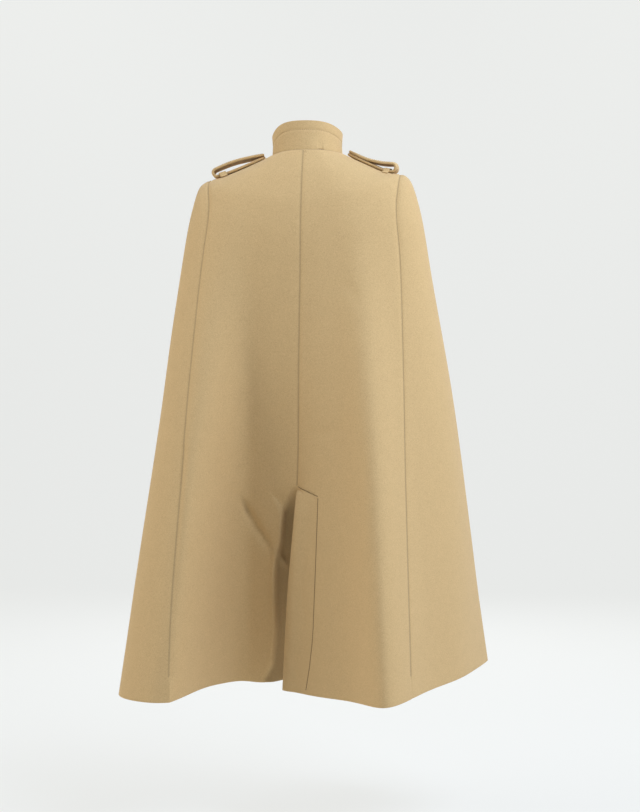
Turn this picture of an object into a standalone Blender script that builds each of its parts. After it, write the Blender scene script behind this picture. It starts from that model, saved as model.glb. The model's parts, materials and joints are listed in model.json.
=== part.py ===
"""A camel wool cape in the form it has when it is worn, in metres.

Z is up and the front faces -Y. The origin is the middle of the neck, level with
the nape, where the collar meets the back. The wearer's left is +X.

The cloth is worked out as rings that go round the body, from the neckline to the
hem. A ring is named by its drop, its distance below the nape at the centre back.
Each panel is a stretch of those rings between two seams, with a wall inside it.
"""

import math

import bmesh
import bpy
import numpy as np
from mathutils import Vector

# Cloth and gaps
WALL = 0.0025
COLLAR_WALL = 0.004
SEAM_GAP = 0.0003

# Lengths down the centre back
NECK_DROP = 0.0
TIP_DROP = 0.098
ARCH_DROP = 0.143
VENT_DROP = 0.676
HEM_DROP = 1.095

# The rings, from the neckline to the hem. z_left, z_right and z_front are the ring's
# height at its sides and front. half_ is its half width, back and front its depth, mid_
# the depth of its widest place, and square_ how square its back corner is (2 is an ellipse).
RING_COLUMNS = (
    "drop", "z_left", "z_right", "z_front", "half_left", "half_right",
    "back", "front", "mid_left", "mid_right", "square_left", "square_right",
)
RINGS = (
    (0.000, -0.004, 0.001, -0.050, 0.0710, 0.0730, 0.0755, 0.068, 0.0, 0.0, 2.0, 2.0),
    (0.050, -0.030, -0.0265, -0.095, 0.134, 0.134, 0.098, 0.094, 0.0, 0.0, 2.2, 2.2),
    (0.078, -0.0425, -0.0405, -0.125, 0.170, 0.167, 0.106, 0.104, 0.0, 0.0, 2.25, 2.25),
    (0.100, -0.0515, -0.0435, -0.150, 0.201, 0.194, 0.111, 0.112, 0.0, 0.0, 2.3, 2.3),
    (0.150, -0.094, -0.090, -0.200, 0.225, 0.220, 0.116, 0.123, 0.0, 0.0, 2.5, 2.4),
    (0.235, -0.205, -0.200, -0.270, 0.250, 0.245, 0.119, 0.132, 0.0, -0.01, 2.7, 2.3),
    (0.550, -0.540, -0.535, -0.560, 0.301, 0.312, 0.148, 0.190, 0.0, -0.08, 3.1, 2.0),
    (1.095, -1.095, -1.070, -1.090, 0.380, 0.389, 0.190, 0.310, 0.02, -0.22, 3.5, 1.6),
)
FRONT_SQUARE = 2.4

# Folds fade out towards the ring's sides (and those of the sides towards its back and
# front), between these shares of the way round.
BACK_FADE = (0.0, 0.5)
FRONT_FADE = (0.0, 0.6)
SIDE_FADE = (0.2, 0.8)

# Where the seams run, as distances from the middle: the centre back seam (which the
# flap's edge continues below the vent's top), the two back seams and the front seams.
SEAM_COLUMNS = ("drop", "centre_back", "back_left", "back_right", "front_left", "front_right")
SEAMS = (
    (0.000, 0.000, 0.201, 0.194, 0.201, 0.194),
    (0.098, 0.001, 0.200, 0.193, 0.200, 0.193),
    (0.150, 0.002, 0.192, 0.186, 0.186, 0.182),
    (0.235, 0.003, 0.203, 0.194, 0.182, 0.180),
    (0.400, 0.007, 0.219, 0.200, 0.190, 0.190),
    (0.676, 0.014, 0.238, 0.206, 0.205, 0.205),
    (0.880, 0.034, 0.249, 0.212, 0.220, 0.220),
    (1.095, 0.048, 0.254, 0.218, 0.235, 0.235),
)

# The back hangs in two lobes with a deep fold between them, which grows from the
# shoulder blades to the hem. Its places are shares of the ring's half width.
FOLD_START = 0.22
FOLD_EASE = 0.10
FOLD_AT_SEAM = 0.179
FOLD_DEEPER_LEFT = 0.089
FOLD_SLOPE_WIDTH = 0.085
FOLD_LEFT_BOTTOM = 0.364
FOLD_LEFT_TOP = 0.72
FOLD_RIGHT_TOP = -0.44
FOLD_RIGHT_POWER = 1.25

# The ridge that stands out beside the right back seam
RIDGE_AT = -0.455
RIDGE_WIDTH = 0.145
RIDGE_HEIGHT = 0.088

# Softer folds elsewhere: the side of the ring, its place at the start and at the hem,
# its width there, where it starts and how far it stands in (below 0: out) at the hem.
FLUTES = (
    ("front", 0.150, 0.230, 0.060, 0.28, -0.040),
    ("front", -0.140, -0.215, 0.060, 0.25, -0.045),
    ("front", 0.060, 0.110, 0.055, 0.35, 0.045),
    ("front", -0.070, -0.105, 0.050, 0.32, 0.040),
    ("left", -0.040, -0.060, 0.070, 0.40, 0.022),
    ("right", -0.070, -0.150, 0.070, 0.45, 0.020),
)

# Vent: the underlap reaches behind the flap, and hangs further behind it towards the hem
UNDERLAP = 0.050
UNDERLAP_START = 0.690
UNDERLAP_FULL = 0.720
UNDERLAP_TUCK = 0.0045
TUCK_START = 0.655
TUCK_FLAT = 0.012
TUCK_WIDTH = 0.036
HEM_TUCK = 0.022
HEM_TUCK_POWER = 0.35

# The left back's hem isn't level: how far it hangs below its ring at each distance from
# the middle
HEM_SAG_START = 0.95
HEM_SAG_PLACES = (0.045, 0.062, 0.12, 0.17, 0.20, 0.225, 0.25)
HEM_SAG = (0.0, 0.005, 0.005, -0.003, -0.008, -0.005, 0.0)

# Front opening: the right front lies over the left one
OVERLAP_HALF = 0.030
OVERLAP_LIFT = 0.0033
OVERLAP_FADE_START = 0.040
OVERLAP_FADE_END = 0.110

# The side panel's cap stands proud of the seam at the shoulder
PUFF = 0.0075
PUFF_RISE = 0.02
PUFF_END = 0.34

# Stand collar: its height above the nape's level at each place, and its flare
COLLAR_TOP_BACK = 0.0570
COLLAR_TOP_LEFT = 0.0340
COLLAR_TOP_RIGHT = 0.0440
COLLAR_TOP_FRONT = -0.002
COLLAR_TOP_FLAT = 4.0
COLLAR_FLARE = 0.0004
COLLAR_SEAT = 0.0007
COLLAR_WAIST = 0.0012
COLLAR_ENDS_GAP = 0.0012

# Shoulder straps: each is folded double, and its upper limb opens away from the lower one
# after this share of its length and bows up by this much.
STRAP_THICK = 0.0055
STRAP_HALF = 0.021
STRAP_POINT_HALF = 0.005
STRAP_POINT_SHARE = 0.2
STRAP_INNER_DROP = 0.010
STRAP_OUTER_DROP = 0.087
STRAP_BEHIND = 0.011
STRAP_SEAT = 0.0011
STRAP_LIFT = {"left": 0.0165, "right": 0.0180}
STRAP_OPENS = {"left": 0.0, "right": 0.35}
STRAP_BOW = {"left": 0.0055, "right": 0.0}
STRAP_BEND = math.radians(60)

# Keepers: a loop's feet reach this share of its half width, and it stands over the strap
# within the second share.
KEEPER_THICK = 0.0025
KEEPER_HALF = 0.029
KEEPER_DROPS = (0.0745, 0.0845)
KEEPER_FOOT_SHARES = (1.0, 0.86)
KEEPER_OVER_SHARES = (0.76, 0.4)

# Front buttons
BUTTON_RADIUS = 0.0125
BUTTON_THICK = 0.0045
BUTTON_COUNT = 5
BUTTON_FIRST_DROP = 0.055
BUTTON_SPACING = 0.155
BUTTON_ROUNDING = 0.28

# Rows of points down the panels, and columns across them
SHOULDER_DROPS = (0.0, 0.014, 0.028, 0.042, 0.056, 0.070, 0.084)
ARCH_DROPS = (TIP_DROP, 0.101, 0.106, 0.113, 0.121, 0.131, ARCH_DROP)
BODY_DROPS = (
    0.150, 0.162, 0.185, 0.225, 0.28, 0.34, 0.41, 0.48, 0.55, 0.615, VENT_DROP,
    UNDERLAP_START, UNDERLAP_FULL, 0.77, 0.83, 0.89, 0.95, 1.00, 1.05, HEM_DROP,
)
# Each column's share of a back panel's width: the left one's lie closer beside the flap
BACK_SHARES = {
    "left": (0, 0.1, 0.19, 0.235, 0.27, 0.305, 0.34, 0.4, 0.48, 0.56, 0.64, 0.72, 0.8, 0.88, 0.94, 1),
    "right": tuple(np.linspace(0, 1, 13)),
}
FRONT_COLUMNS = 9
COLLAR_COLUMNS = 40
COLLAR_ROWS = 4
STRAP_STATIONS = 9
BEND_STATIONS = 5
STRAP_COLUMNS = 4
KEEPER_ROWS = 3
BUTTON_SIDES = 20

# Steps for measuring a direction on the surface, along a ring and down the cape
TURN_STEP = 0.004
DROP_STEP = 0.002

WOOL_COLOUR = (0.54, 0.39, 0.205, 1.0)
BUTTON_COLOUR = (0.10, 0.055, 0.028, 1.0)


def table(columns, rows):
    return {name: np.array(column) for name, column in zip(columns, zip(*rows))}


RING = table(RING_COLUMNS, RINGS)
SEAM = table(SEAM_COLUMNS, SEAMS)


def smooth(rows, name, drop):
    """The value of a table's column at a drop, on a smooth curve through its rows."""
    drops, values = rows["drop"], rows[name]
    slopes = np.gradient(values, drops)
    drop = np.asarray(drop, float)
    i = np.clip(np.searchsorted(drops, drop, side="right") - 1, 0, len(drops) - 2)
    span = drops[i + 1] - drops[i]
    s = np.clip((drop - drops[i]) / span, 0, 1)
    return (
        (1 + 2 * s) * (1 - s) ** 2 * values[i]
        + s * (1 - s) ** 2 * span * slopes[i]
        + s**2 * (3 - 2 * s) * values[i + 1]
        + s**2 * (s - 1) * span * slopes[i + 1]
    )


def step(low, high, value):
    """0 below low, 1 above high and a smooth S between them."""
    s = np.clip((value - low) / (high - low), 0, 1)
    return s * s * (3 - 2 * s)


def growth(drop, start):
    """How far a fold has grown: about 0 above its start and 1 at the hem."""

    def ramp(x):
        return (x + np.sqrt(x**2 + FOLD_EASE**2)) / 2

    return ramp(drop - start) / ramp(HEM_DROP - start)


def back_fold(layer, x, drop):
    """How far the back lies in front of its ring, on the left or the right panel."""
    half_left, half_right = smooth(RING, "half_left", drop), smooth(RING, "half_right", drop)
    centre = smooth(SEAM, "centre_back", drop)
    grown = growth(drop, FOLD_START)
    if layer == "left":
        past = np.maximum(x - centre, 0)
        freed = step(VENT_DROP, HEM_DROP, drop)
        deeper = freed + (1 - freed) * (1 - np.exp(-past / FOLD_SLOPE_WIDTH))
        wall = 1 - step(FOLD_LEFT_BOTTOM * half_left, FOLD_LEFT_TOP * half_left, x)
        vent_share = np.clip((drop - UNDERLAP_START) / (HEM_DROP - UNDERLAP_START), 0, 1)
        hanging = HEM_TUCK * vent_share**HEM_TUCK_POWER
        tuck = UNDERLAP_TUCK * step(TUCK_START, UNDERLAP_START, drop) + hanging
        tucked = tuck * (1 - step(TUCK_FLAT, TUCK_WIDTH, x - centre))
        return grown * (FOLD_AT_SEAM + FOLD_DEEPER_LEFT * deeper) * wall + tucked
    top = FOLD_RIGHT_TOP * half_right
    share = np.clip((x - top) / (centre - top), 0, 1.2) ** FOLD_RIGHT_POWER
    ridge = RIDGE_HEIGHT * np.exp(-(((x - RIDGE_AT * half_right) / (RIDGE_WIDTH * half_right)) ** 2))
    return grown * (FOLD_AT_SEAM * share - ridge)


def flutes(face, place, drop):
    """The sum of the softer folds on one face of the cape."""
    total = 0
    for name, place_start, place_hem, width, start, depth in FLUTES:
        if name == face:
            grown = growth(drop, start)
            middle = place_start + (place_hem - place_start) * grown
            total = total + depth * grown * np.exp(-(((place - middle) / width) ** 2))
    return total


def body(turn, drop, layer):
    """Points of the cape's outer face. turn is 0 at the wearer's left side, pi/2 at the
    centre back, pi at the right side and -pi/2 at the centre front."""
    turn, drop = np.broadcast_arrays(np.asarray(turn, float), np.asarray(drop, float))
    left, behind = np.cos(turn) >= 0, np.sin(turn) >= 0

    def sided(column):
        return np.where(left, smooth(RING, column + "_left", drop), smooth(RING, column + "_right", drop))

    half, mid = sided("half"), sided("mid")
    square = np.where(behind, sided("square"), FRONT_SQUARE)
    c, s = np.abs(np.cos(turn)), np.abs(np.sin(turn))
    reach = (c**square + s**square) ** (-1 / square)
    x = np.where(left, 1, -1) * half * reach * c
    depth = np.where(behind, smooth(RING, "back", drop) - mid, -smooth(RING, "front", drop) - mid)
    y = mid + depth * reach * s
    z_side = sided("z")
    z_middle = np.where(behind, -drop, smooth(RING, "z_front", drop))
    z = z_side + (z_middle - z_side) * s**2
    y = y - np.where(behind, back_fold(layer, x, drop) * step(*BACK_FADE, s), 0)
    y = y + np.where(behind, 0, flutes("front", x, drop) * step(*FRONT_FADE, s))
    inward = np.where(left, flutes("left", y, drop), flutes("right", y, drop)) * step(*SIDE_FADE, c)
    x = x - np.where(left, 1, -1) * inward
    return np.stack([x, y, z], axis=-1)


def outward(turn, drop, layer):
    """The direction out of the cloth, square to the outer face."""
    low = np.maximum(drop - DROP_STEP, NECK_DROP)
    high = np.minimum(drop + DROP_STEP, HEM_DROP)
    down = body(turn, high, layer) - body(turn, low, layer)
    round_it = body(turn + TURN_STEP, drop, layer) - body(turn - TURN_STEP, drop, layer)
    normal = np.cross(down, round_it)
    return normal / np.linalg.norm(normal, axis=-1, keepdims=True)


def turn_at(x, drop, behind=True):
    """The turn at which a ring's back or front passes x."""
    side = "left" if x >= 0 else "right"
    square = float(smooth(RING, "square_" + side, drop)) if behind else FRONT_SQUARE
    share = min(abs(x) / float(smooth(RING, "half_" + side, drop)), 1.0)
    turn = math.atan2((1 - share**square) ** (1 / square), share)
    turn = turn if x >= 0 else math.pi - turn
    return turn if behind else -turn


def seam_turn(name, drop):
    """The turn of a back or front seam at a drop. Above the shoulder tip it is the shoulder seam."""
    x = float(smooth(SEAM, name, drop))
    sign = 1 if name.endswith("left") else -1
    if drop <= TIP_DROP:
        return 0.0 if sign > 0 else math.pi * (1 if name.startswith("back") else -1)
    return turn_at(sign * x, drop, name.startswith("back"))


def inset(turn, drop, layer, amount):
    """The turn that lies this many metres further round the ring."""
    moved = body(turn + TURN_STEP, drop, layer) - body(turn, drop, layer)
    return turn + amount * TURN_STEP / np.linalg.norm(moved)


def walled(name, outer, inner, material):
    """One closed wall between two grids of points, with rows down and columns across."""
    rows, columns = outer.shape[:2]
    mesh = bmesh.new()
    out = [[mesh.verts.new(outer[r, c]) for c in range(columns)] for r in range(rows)]
    back = [[mesh.verts.new(inner[r, c]) for c in range(columns)] for r in range(rows)]
    for r in range(rows - 1):
        for c in range(columns - 1):
            mesh.faces.new((out[r][c], out[r + 1][c], out[r + 1][c + 1], out[r][c + 1]))
            mesh.faces.new((back[r][c], back[r][c + 1], back[r + 1][c + 1], back[r + 1][c]))
    around = [(0, c) for c in range(columns)] + [(r, columns - 1) for r in range(1, rows)]
    around += [(rows - 1, c) for c in range(columns - 2, -1, -1)] + [(r, 0) for r in range(rows - 2, 0, -1)]
    for (r, c), (r_next, c_next) in zip(around, around[1:] + around[:1]):
        mesh.faces.new((out[r][c], out[r_next][c_next], back[r_next][c_next], back[r][c]))
    bmesh.ops.recalc_face_normals(mesh, faces=mesh.faces)
    return finished(name, mesh, material)


def finished(name, mesh, material):
    """A named object in the cape's collection, shaded smooth, from a bmesh."""
    data = bpy.data.meshes.new(name)
    mesh.to_mesh(data)
    mesh.free()
    data.materials.append(material)
    data.shade_smooth()
    data.set_sharp_from_angle(angle=math.radians(40))
    made = bpy.data.objects.new(name, data)
    bpy.data.collections["wool_cape"].objects.link(made)
    return made


def clear_scene():
    for old in list(bpy.data.objects):
        bpy.data.objects.remove(old)


def principled(name, colour, roughness):
    material = bpy.data.materials.new(name)
    material.use_nodes = True
    shader = material.node_tree.nodes["Principled BSDF"]
    shader.inputs["Base Color"].default_value = colour
    shader.inputs["Roughness"].default_value = roughness
    shader.inputs["Metallic"].default_value = 0.0
    return material


def wall_of(outer, turns, drops, layer):
    """The inner face of a panel's wall."""
    return outer - WALL * outward(turns, drops, layer)


def sheet_about(name, middle, thick, material):
    """One closed wall on both sides of a grid of points in its middle."""
    facing = np.cross(np.gradient(middle, axis=0), np.gradient(middle, axis=1))
    facing /= np.linalg.norm(facing, axis=-1, keepdims=True)
    return walled(name, middle + thick / 2 * facing, middle - thick / 2 * facing, material)


def back_panel(side, material):
    """A back panel, from the centre back (or its vent edge) to the shoulder and back seams."""
    sign = 1 if side == "left" else -1
    drops = SHOULDER_DROPS + ARCH_DROPS + BODY_DROPS
    shares = np.array(BACK_SHARES[side])
    grid = np.empty((len(drops), len(shares)))
    for row, drop in enumerate(drops):
        edge = float(smooth(SEAM, "centre_back", drop))
        if side == "left":
            edge -= UNDERLAP * float(step(UNDERLAP_START, UNDERLAP_FULL, drop))
        start = inset(turn_at(edge, drop), drop, side, -sign * SEAM_GAP / 2)
        end = inset(seam_turn("back_" + side, drop), drop, side, sign * SEAM_GAP / 2)
        grid[row] = start + (end - start) * shares
    levels = np.repeat(np.array(drops)[:, None], len(shares), axis=1)
    outer = body(grid, levels, side)
    if side == "left":
        sag = np.interp(outer[..., 0], HEM_SAG_PLACES, HEM_SAG)
        outer[..., 2] -= sag * step(HEM_SAG_START, HEM_DROP, levels)
    return walled("back_" + side, outer, wall_of(outer, grid, levels, side), material)


def overlap_lift(x):
    """How far the right front stands off the left one, where it lies over it and beside it."""
    return OVERLAP_LIFT * (1 - step(OVERLAP_FADE_START, OVERLAP_FADE_END, -x))


def front_panel(side, material):
    """A front panel, from past the centre front to the shoulder and front seams."""
    sign = 1 if side == "left" else -1
    drops = SHOULDER_DROPS + ARCH_DROPS + BODY_DROPS
    grid = np.empty((len(drops), FRONT_COLUMNS + 1))
    for row, drop in enumerate(drops):
        start = turn_at(-sign * OVERLAP_HALF, drop, behind=False)
        end = inset(seam_turn("front_" + side, drop), drop, side, -sign * SEAM_GAP / 2)
        grid[row] = np.linspace(start, end, FRONT_COLUMNS + 1)
    levels = np.repeat(np.array(drops)[:, None], FRONT_COLUMNS + 1, axis=1)
    outer = body(grid, levels, side)
    if side == "right":
        outer = outer + overlap_lift(outer[..., 0])[..., None] * outward(grid, levels, side)
    return walled("front_" + side, outer, wall_of(outer, grid, levels, side), material)


def side_panel(side, material):
    """A side panel. Its top follows the seam over the shoulder's tip, and its cap is puffed."""
    sign = 1 if side == "left" else -1
    straight = 0.0 if side == "left" else math.pi
    behind = [abs(seam_turn("back_" + side, drop) - straight) for drop in ARCH_DROPS]
    ahead = [abs(abs(seam_turn("front_" + side, drop)) - straight) for drop in ARCH_DROPS]
    shares = [-a / ahead[-1] for a in ahead[:0:-1]] + [b / behind[-1] for b in behind]
    tops = list(ARCH_DROPS[:0:-1]) + list(ARCH_DROPS)
    rows = (ARCH_DROP,) + BODY_DROPS
    grid, levels = np.empty((len(rows), len(shares))), np.empty((len(rows), len(shares)))
    for row, edge_drop in enumerate(rows):
        below = (edge_drop - ARCH_DROP) / (HEM_DROP - ARCH_DROP)
        for column, (share, top) in enumerate(zip(shares, tops)):
            drop = top + (HEM_DROP - top) * below
            name = ("back_" if share > 0 else "front_") + side
            reach = abs(abs(seam_turn(name, max(drop, ARCH_DROP))) - straight)
            turn = straight + sign * share * reach
            grid[row, column] = inset(turn, drop, side, -sign * np.sign(share) * SEAM_GAP * abs(share))
            levels[row, column] = drop
    levels[0] += 3 * SEAM_GAP
    outer = body(grid, levels, side)
    crown = np.sqrt(np.clip(1 - np.array(shares) ** 2, 0, 1))[None, :] * np.ones((len(rows), 1))
    below_seam = np.clip((levels - levels[0]) / PUFF_RISE, 0, 1)
    down = (1 - (1 - below_seam) ** 2) * (1 - step(ARCH_DROP, PUFF_END, levels))
    normals = outward(grid, levels, side)
    wall = outer + (PUFF * crown * down)[..., None] * normals
    return walled("side_" + side, wall, wall - WALL * normals, material)


def stand_collar(material):
    """The stand collar: one strip round the neck, whose ends meet at the centre front."""
    start = turn_at(COLLAR_ENDS_GAP / 2, NECK_DROP, behind=False)
    end = 2 * math.pi + turn_at(-COLLAR_ENDS_GAP / 2, NECK_DROP, behind=False)
    turns = np.linspace(start, end, COLLAR_COLUMNS + 1)
    base = body(turns, NECK_DROP, "left")
    left, behind = np.cos(turns) >= 0, np.sin(turns) >= 0
    over_left = 1 - step(OVERLAP_HALF, 2 * OVERLAP_HALF, base[:, 0])
    lift = np.where(behind, 0, overlap_lift(base[:, 0]) * over_left)
    base = base + lift[:, None] * outward(turns, NECK_DROP, "left") + np.array([0, 0, COLLAR_SEAT])
    side = np.where(left, COLLAR_TOP_LEFT, COLLAR_TOP_RIGHT)
    middle = np.where(behind, COLLAR_TOP_BACK, COLLAR_TOP_FRONT)
    top = base.copy()
    top[:, 2] = side + (middle - side) * (1 - np.abs(np.cos(turns)) ** COLLAR_TOP_FLAT)
    around = base * np.array([1, 1, 0])
    around /= np.linalg.norm(around, axis=1, keepdims=True)
    top = top + COLLAR_FLARE * around
    share = np.linspace(1, 0, COLLAR_ROWS + 1)[:, None, None]
    outer = base + (top - base) * share - COLLAR_WAIST * np.sin(np.pi * share) * around
    return walled("collar", outer, outer - COLLAR_WALL * around, material)


def shoulder_turn(y, drop, straight):
    """The turn at which a ring over the shoulder passes this y, behind or ahead of the ridge."""
    if y >= 0:
        square = float(smooth(RING, "square_left" if straight == 0 else "square_right", drop))
    else:
        square = FRONT_SQUARE
    share = abs(y) / float(smooth(RING, "back" if y >= 0 else "front", drop))
    angle = math.atan2(share, (1 - share**square) ** (1 / square))
    return straight + (1 if straight == 0 else -1) * math.copysign(angle, y)


def epaulette(side, material):
    """A strap folded double: its lower limb lies on the shoulder, its upper one stands above."""
    straight = 0.0 if side == "left" else math.pi
    limb = np.linspace(STRAP_INNER_DROP, STRAP_OUTER_DROP, STRAP_STATIONS)
    shares = np.linspace(0, 1, STRAP_STATIONS)
    low_lift = STRAP_SEAT + STRAP_THICK / 2
    high_lift = STRAP_LIFT[side] + STRAP_THICK / 2
    closed_lift = low_lift + STRAP_THICK + SEAM_GAP
    stations = [(drop, low_lift, 0.0) for drop in limb]
    radius = (high_lift - low_lift) / 2
    for angle in np.linspace(-STRAP_BEND, STRAP_BEND, BEND_STATIONS):
        stations.append((limb[-1], low_lift + radius * (1 + math.sin(angle)), radius * math.cos(angle)))
    for drop, share in zip(limb[::-1], shares[::-1]):
        opened = float(step(STRAP_OPENS[side], 1.0, share))
        bow = STRAP_BOW[side] * math.sin(math.pi * share)
        stations.append((drop, closed_lift + (high_lift - closed_lift) * opened + bow, 0.0))
    lengths = [(drop - limb[0]) / (limb[-1] - limb[0]) for drop, _, _ in stations]
    tapers = [float(step(0.0, STRAP_POINT_SHARE, share)) for share in lengths]
    widths = [STRAP_POINT_HALF + (STRAP_HALF - STRAP_POINT_HALF) * taper for taper in tapers]
    across = np.linspace(-1, 1, STRAP_COLUMNS + 1)
    middle = np.empty((len(stations), len(across), 3))
    for i, (drop, lift, out) in enumerate(stations):
        ridge = body(straight, drop, side)
        ahead = body(straight, drop + DROP_STEP, side) - ridge
        ahead /= np.linalg.norm(ahead)
        for j, share in enumerate(across):
            turn = shoulder_turn(STRAP_BEHIND + share * widths[i], drop, straight)
            normal = outward(turn, drop, side)
            middle[i, j] = body(turn, drop, side) + lift * normal + out * ahead
    return sheet_about("epaulette_" + side, middle, STRAP_THICK, material)


def keeper(side, material):
    """A narrow loop over the strap's lower limb, sewn to the shoulder on both sides of it."""
    straight = 0.0 if side == "left" else math.pi
    foot = 2 * SEAM_GAP + KEEPER_THICK / 2
    over = STRAP_SEAT + STRAP_THICK + 2 * SEAM_GAP + KEEPER_THICK / 2
    drops = np.linspace(*KEEPER_DROPS, KEEPER_ROWS)
    half = [(share, foot) for share in KEEPER_FOOT_SHARES] + [(share, over) for share in KEEPER_OVER_SHARES]
    places = [(-share, lift) for share, lift in half] + [(0.0, over)] + half[::-1]
    middle = np.empty((len(drops), len(places), 3))
    for i, drop in enumerate(drops):
        for j, (share, lift) in enumerate(places):
            turn = shoulder_turn(STRAP_BEHIND + share * KEEPER_HALF, drop, straight)
            middle[i, j] = body(turn, drop, side) + lift * outward(turn, drop, side)
    return sheet_about("keeper_" + side, middle, KEEPER_THICK, material)


def front_button(number, material):
    """A round button on the right front, on the centre front line."""
    drop = BUTTON_FIRST_DROP + number * BUTTON_SPACING
    turn = -math.pi / 2
    facing = outward(turn, drop, "right")
    place = body(turn, drop, "right") + (OVERLAP_LIFT + 2 * SEAM_GAP + BUTTON_THICK / 2) * facing
    mesh = bmesh.new()
    bmesh.ops.create_cone(
        mesh,
        cap_ends=True,
        segments=BUTTON_SIDES,
        radius1=BUTTON_RADIUS,
        radius2=BUTTON_RADIUS,
        depth=BUTTON_THICK,
    )
    rims = [edge for edge in mesh.edges if len({round(v.co.z, 5) for v in edge.verts}) == 1]
    rounding = BUTTON_ROUNDING * BUTTON_THICK
    bmesh.ops.bevel(mesh, geom=rims, offset=rounding, segments=2, affect="EDGES", profile=0.5)
    made = finished(f"button_{number + 1}", mesh, material)
    made.location = place
    made.rotation_mode = "QUATERNION"
    made.rotation_quaternion = Vector(facing.tolist()).to_track_quat("Z", "Y")
    return made


def build_cape():
    clear_scene()
    bpy.context.scene.collection.children.link(bpy.data.collections.new("wool_cape"))
    wool = principled("camel_wool", WOOL_COLOUR, 0.92)
    horn = principled("dark_horn", BUTTON_COLOUR, 0.35)
    for side in ("left", "right"):
        back_panel(side, wool)
        front_panel(side, wool)
        side_panel(side, wool)
        epaulette(side, wool)
        keeper(side, wool)
    stand_collar(wool)
    for number in range(BUTTON_COUNT):
        front_button(number, horn)


build_cape()
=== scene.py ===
# Wool cape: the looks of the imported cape, in the frame it was built in, in metres.
# Z is up, the wearer's left is +X and the back, which the camera faces, is +Y.
import json
import math

import bmesh
import bpy
import numpy as np
from mathutils import Matrix, Vector, noise
from mathutils.bvhtree import BVHTree
from mathutils.kdtree import KDTree

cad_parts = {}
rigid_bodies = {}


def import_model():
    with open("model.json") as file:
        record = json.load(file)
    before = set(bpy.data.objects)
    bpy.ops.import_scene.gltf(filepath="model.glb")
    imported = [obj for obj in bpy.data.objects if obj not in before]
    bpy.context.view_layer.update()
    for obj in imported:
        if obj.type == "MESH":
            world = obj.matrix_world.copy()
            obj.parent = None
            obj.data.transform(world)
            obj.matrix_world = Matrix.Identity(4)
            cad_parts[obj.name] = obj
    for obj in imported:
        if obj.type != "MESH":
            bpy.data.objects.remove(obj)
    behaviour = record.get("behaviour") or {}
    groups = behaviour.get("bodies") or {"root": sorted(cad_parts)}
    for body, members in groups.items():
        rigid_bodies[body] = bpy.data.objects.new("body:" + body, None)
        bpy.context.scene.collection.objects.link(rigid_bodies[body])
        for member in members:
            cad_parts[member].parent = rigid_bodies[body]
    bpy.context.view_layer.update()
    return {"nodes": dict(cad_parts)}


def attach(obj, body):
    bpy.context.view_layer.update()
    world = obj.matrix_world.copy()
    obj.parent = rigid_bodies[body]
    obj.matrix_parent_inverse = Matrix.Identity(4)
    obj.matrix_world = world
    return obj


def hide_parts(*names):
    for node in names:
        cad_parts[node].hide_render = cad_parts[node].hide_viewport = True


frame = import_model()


# The room
# A pale floor that curves up into a wall, as in a photographer's studio, a soft key
# light on the image's right, a weaker one on its left, and the camera behind the cape.
FLOOR_LEVEL = -1.42
FLOOR_SIZE = 12.0
WALL_RISE = 6.0
COVE_RADIUS = 2.2
COVE_STEPS = 24
ROOM_COLOUR = (0.20, 0.202, 0.198, 1.0)
ROOM_GLOW = (0.99, 1.0, 0.975, 1.0)
ROOM_GLOW_STRENGTH = 0.66

bpy.ops.object.select_all(action="DESELECT")
bpy.ops.mesh.primitive_plane_add(size=FLOOR_SIZE, location=(0, 0, FLOOR_LEVEL))
room = bpy.context.object
room.name = "studio_floor"
bpy.ops.object.mode_set(mode="EDIT")
bpy.ops.mesh.select_all(action="DESELECT")
shape = bmesh.from_edit_mesh(room.data)
for edge in shape.edges:
    if all(vertex.co.y < 0 for vertex in edge.verts):
        edge.select_set(True)
bmesh.update_edit_mesh(room.data)
bpy.ops.mesh.extrude_region_move(TRANSFORM_OT_translate={"value": (0, 0, WALL_RISE)})
bpy.ops.mesh.select_all(action="DESELECT")
shape = bmesh.from_edit_mesh(room.data)
for edge in shape.edges:
    if all(vertex.co.y < 0 and vertex.co.z < WALL_RISE / 2 for vertex in edge.verts):
        edge.select_set(True)
bmesh.update_edit_mesh(room.data)
bpy.ops.mesh.bevel(offset=COVE_RADIUS, segments=COVE_STEPS, affect="EDGES")
bpy.ops.object.mode_set(mode="OBJECT")
bpy.ops.object.shade_smooth()
bpy.ops.object.transform_apply(location=True, rotation=True, scale=True)

room_paint = bpy.data.materials.new("pale_floor")
room_paint.use_nodes = True
paint = room_paint.node_tree.nodes["Principled BSDF"]
paint.inputs["Base Color"].default_value = ROOM_COLOUR
paint.inputs["Roughness"].default_value = 1.0
paint.inputs["Specular IOR Level"].default_value = 0.0
paint.inputs["Emission Color"].default_value = ROOM_GLOW
paint.inputs["Emission Strength"].default_value = ROOM_GLOW_STRENGTH
room.data.materials.append(room_paint)

CAMERA_PLACE = (-0.2776, 2.8617, -0.515)
CAMERA_TURN = (math.radians(90), 0, math.radians(185))
CAMERA_LENS = 62.07
CAMERA_SENSOR = 36
bpy.ops.object.camera_add(location=CAMERA_PLACE, rotation=CAMERA_TURN)
camera = bpy.context.object
camera.data.lens = CAMERA_LENS
camera.data.sensor_width = CAMERA_SENSOR
bpy.context.scene.camera = camera

CAPE_MIDDLE = Vector((0, 0, -0.5))
LIGHT_DISTANCE = 3.2
LIGHT_SIZE = 1.8
COOL_LIGHT = (0.88, 1.0, 1.20)
PLAIN_LIGHT = (1.0, 1.0, 1.0)
# Each light's name, degrees round from behind the cape (to the wearer's left), degrees
# up, power in watts and colour
CAPE_LIGHTS = (
    ("key_light", -48, 48, 92.0, COOL_LIGHT),
    ("right_light", -82, 14, 38.0, COOL_LIGHT),
    ("left_light", 76, 14, 48.0, PLAIN_LIGHT),
    ("left_high_light", 60, 50, 22.0, COOL_LIGHT),
    ("front_light", 180, 25, 45.0, PLAIN_LIGHT),
)
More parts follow.
